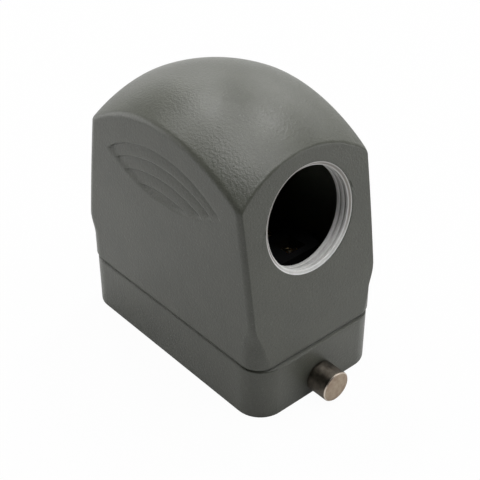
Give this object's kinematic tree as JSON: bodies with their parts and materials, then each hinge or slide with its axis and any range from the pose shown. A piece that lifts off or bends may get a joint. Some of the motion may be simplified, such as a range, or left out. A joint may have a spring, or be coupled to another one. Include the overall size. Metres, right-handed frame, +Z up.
{
  "type": "heavy duty rectangular connector",
  "caption": "Die-cast connector hood, domed, with a threaded cable entry in one end, locking pegs on the skirt and a screw-terminal pin insert inside.",
  "frame": {"origin": "middle of the skirt's rim, on the plane it stands on", "axes": "+X along the length towards the cable entry, +Y across, +Z up to the dome"},
  "size_m": [0.0856, 0.043, 0.0779],
  "materials": {
    "powder_coat": "satin powder coat, fine texture",
    "entry_metal": "bare machined thread",
    "peg_steel": "dull tarnished",
    "black_moulding": "matt moulded",
    "contact_brass": "satin",
    "plated_steel": "zinc plated",
    "spring_steel": "stamped",
    "earth_metal": "tin plated"
  },
  "bodies": {
    "root": {"hood": "powder_coat", "peg_entry_end": "peg_steel", "peg_blind_end": "peg_steel", "insert_body": "black_moulding", "contact_pin_1": "contact_brass", "contact_pin_2": "contact_brass", "contact_pin_3": "contact_brass", "contact_pin_4": "contact_brass", "contact_pin_5": "contact_brass", "contact_pin_6": "contact_brass", "contact_pin_7": "contact_brass", "contact_pin_8": "contact_brass", "contact_pin_9": "contact_brass", "contact_pin_10": "contact_brass", "terminal_screws": "plated_steel", "wire_clamp_plates": "spring_steel", "earth_plate_entry_end": "earth_metal", "earth_plate_blind_end": "earth_metal", "earth_saddles": "earth_metal", "earth_screws": "plated_steel", "insert_screws": "plated_steel"}
  },
  "joints": []
}
